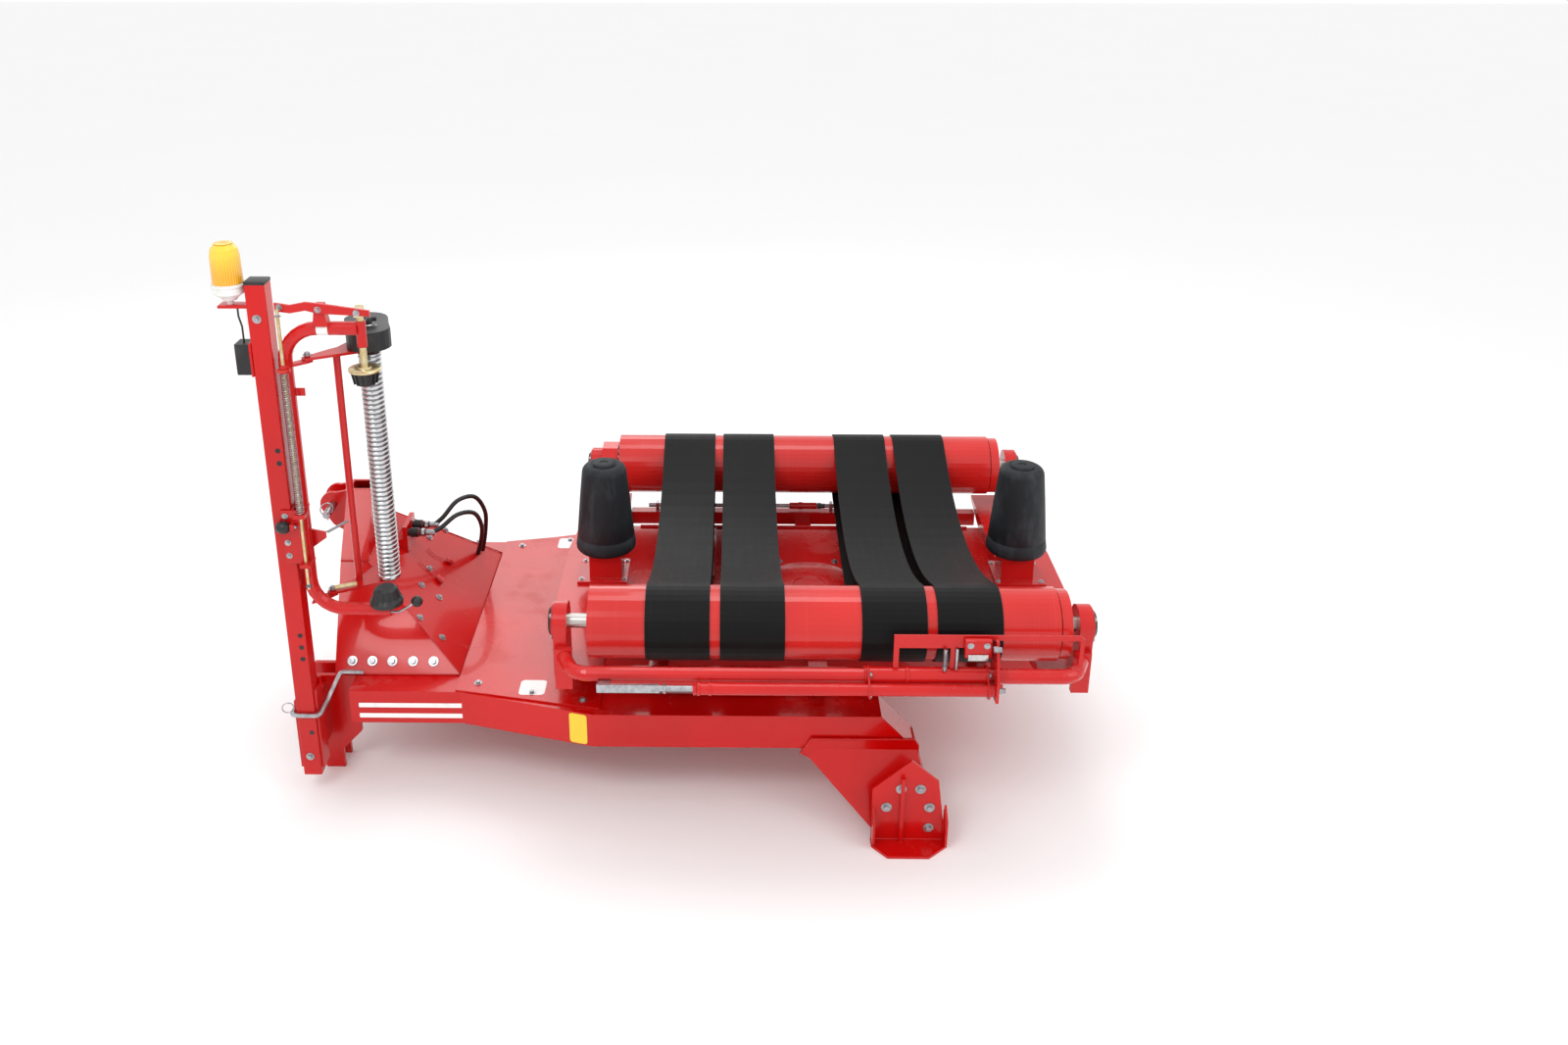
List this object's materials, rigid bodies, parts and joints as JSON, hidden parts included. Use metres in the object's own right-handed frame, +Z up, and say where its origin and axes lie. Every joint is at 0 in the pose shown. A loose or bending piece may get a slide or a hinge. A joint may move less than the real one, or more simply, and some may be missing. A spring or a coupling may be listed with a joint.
{
  "type": "turntable bale wrapper",
  "caption": "Three-point mounted turntable wrapper for round bales: belt table with side cones, film dispenser on a mast, film cutter, beacon and bolted feet.",
  "frame": {"origin": "middle of the footprint, on the ground", "axes": "+X from the hitch towards the support feet, +Y away from the film dispenser, +Z up"},
  "size_m": [2.5962, 1.6946, 1.8156],
  "materials": {
    "red_paint": "gloss deep red enamel",
    "bright_red_paint": "gloss bright red enamel",
    "belt_rubber": "satin black belting",
    "cone_rubber": "matt charcoal",
    "black_plastic": "satin black",
    "zinc": "zinc plated",
    "yellow_zinc": "yellow passivated zinc",
    "aluminium": "extruded, bare",
    "amber_lens": "amber lens",
    "white_plastic": "white moulding"
  },
  "bodies": {
    "chassis": {"beam_front": "red_paint", "beam_rear": "red_paint", "cross_beam_hitch": "red_paint", "ring_carrier": "red_paint", "slew_ring": "black_plastic", "deck_cover": "bright_red_paint", "foot_front": "red_paint", "foot_rear": "red_paint", "lower_link_bracket_front": "red_paint", "lower_link_bracket_rear": "red_paint", "headstock_cover": "red_paint", "headstock_tower": "red_paint", "top_link_clevis": "red_paint", "mast": "red_paint", "mast_socket": "red_paint", "mast_lock_rod": "zinc", "beacon_base": "white_plastic", "beacon_lens": "amber_lens", "beacon_cable": "black_plastic", "marker_lamp": "black_plastic", "coupling_holder": "red_paint", "hose_supply": "black_plastic", "hose_return": "black_plastic"},
    "table": {"table_base": "bright_red_paint", "end_frame_left": "bright_red_paint", "end_frame_right": "bright_red_paint", "drum_front": "bright_red_paint", "drum_rear": "bright_red_paint", "belt_1": "belt_rubber", "belt_2": "belt_rubber", "belt_3": "belt_rubber", "belt_4": "belt_rubber", "brake_rod": "zinc", "drive_motor": "bright_red_paint", "cone_bracket_left": "bright_red_paint", "cone_bracket_right": "bright_red_paint", "cutter_guide_tube": "bright_red_paint", "cutter_rod": "zinc"},
    "cone_left": {"cone_left": "cone_rubber"},
    "cone_right": {"cone_right": "cone_rubber"},
    "cutter": {"cutter_barrel": "bright_red_paint", "cutter_sleeve": "bright_red_paint", "cutter_guard": "bright_red_paint"},
    "dispenser": {"dispenser_frame": "bright_red_paint", "mast_bracket": "bright_red_paint", "release_spring": "zinc"},
    "lower_cone": {"lower_cone": "black_plastic"},
    "lever": {"release_lever": "bright_red_paint"},
    "spindle": {"film_spindle": "yellow_zinc"},
    "upper_cone": {"upper_cone": "black_plastic"},
    "pull_rod": {"pull_rod": "yellow_zinc"},
    "swing_arm": {"swing_frame": "bright_red_paint", "gear_cover": "black_plastic"},
    "roller_slow": {"roller_slow": "aluminium"},
    "roller_fast": {"roller_fast": "aluminium"},
    "tension_spring": {"tension_spring": "zinc"}
  },
  "joints": [
    {"name": "table_spin", "type": "hinge", "parent": "chassis", "child": "table", "pos_m": [0.4381, 0, 0.39], "axis": [0, 0, 1], "continuous": true},
    {"name": "cone_left_spin", "type": "hinge", "parent": "table", "child": "cone_left", "pos_m": [-0.2669, 0, 0.6], "axis": [0, 0, 1], "continuous": true},
    {"name": "cone_right_spin", "type": "hinge", "parent": "table", "child": "cone_right", "pos_m": [1.1431, 0, 0.6], "axis": [0, 0, 1], "continuous": true},
    {"name": "cutter_slide", "type": "slide", "parent": "table", "child": "cutter", "axis": [1, 0, 0], "range_m": [0, 0.15]},
    {"name": "dispenser_height", "type": "slide", "parent": "chassis", "child": "dispenser", "axis": [0, 0, 1], "range_m": [-0.05, 0.1]},
    {"name": "lever_tilt", "type": "hinge", "parent": "dispenser", "child": "lever", "pos_m": [-0.9964, -0.566, 1.633], "axis": [0, -1, 0], "range_deg": [0, 30], "stiffness_Nm_per_rad": 10, "springref_deg": -22.92},
    {"name": "spindle_slide", "type": "slide", "parent": "dispenser", "child": "spindle", "axis": [0, 0, 1], "range_m": [0, 0.057]},
    {"name": "pull_rod_slide", "type": "slide", "parent": "dispenser", "child": "pull_rod", "axis": [0, 0, 1], "range_m": [-0.057, 0], "deforming": ["release_spring"]},
    {"name": "upper_cone_spin", "type": "hinge", "parent": "spindle", "child": "upper_cone", "pos_m": [-0.8889, -0.536, 1.442], "axis": [0, 0, 1], "continuous": true},
    {"name": "lower_cone_spin", "type": "hinge", "parent": "dispenser", "child": "lower_cone", "pos_m": [-0.8889, -0.536, 0.684], "axis": [0, 0, 1], "continuous": true},
    {"name": "swing_arm_hinge", "type": "hinge", "parent": "dispenser", "child": "swing_arm", "pos_m": [-1.0669, -0.49, 1.07], "axis": [0, 0, 1], "range_deg": [0, 40], "stiffness_Nm_per_rad": 15, "springref_deg": -22.92},
    {"name": "roller_slow_spin", "type": "hinge", "parent": "swing_arm", "child": "roller_slow", "pos_m": [-0.9099, -0.405, 1.07], "axis": [0, 0, 1], "continuous": true},
    {"name": "roller_fast_spin", "type": "hinge", "parent": "swing_arm", "child": "roller_fast", "pos_m": [-0.9379, -0.3, 1.07], "axis": [0, 0, 1], "continuous": true},
    {"name": "tension_spring_pivot", "type": "hinge", "parent": "dispenser", "child": "tension_spring", "pos_m": [-1.0629, -0.536, 0.915], "axis": [0, 0, 1], "range_deg": [0, 27.2]}
  ],
  "couplings": [
    {"joint": "spindle_slide", "follows": "lever_tilt", "m_per_rad": 0.1075},
    {"joint": "pull_rod_slide", "follows": "lever_tilt", "m_per_rad": -0.1075},
    {"joint": "roller_fast_spin", "follows": "roller_slow_spin", "ratio": -1.7},
    {"joint": "tension_spring_pivot", "follows": "swing_arm_hinge", "ratio": 0.68}
  ]
}
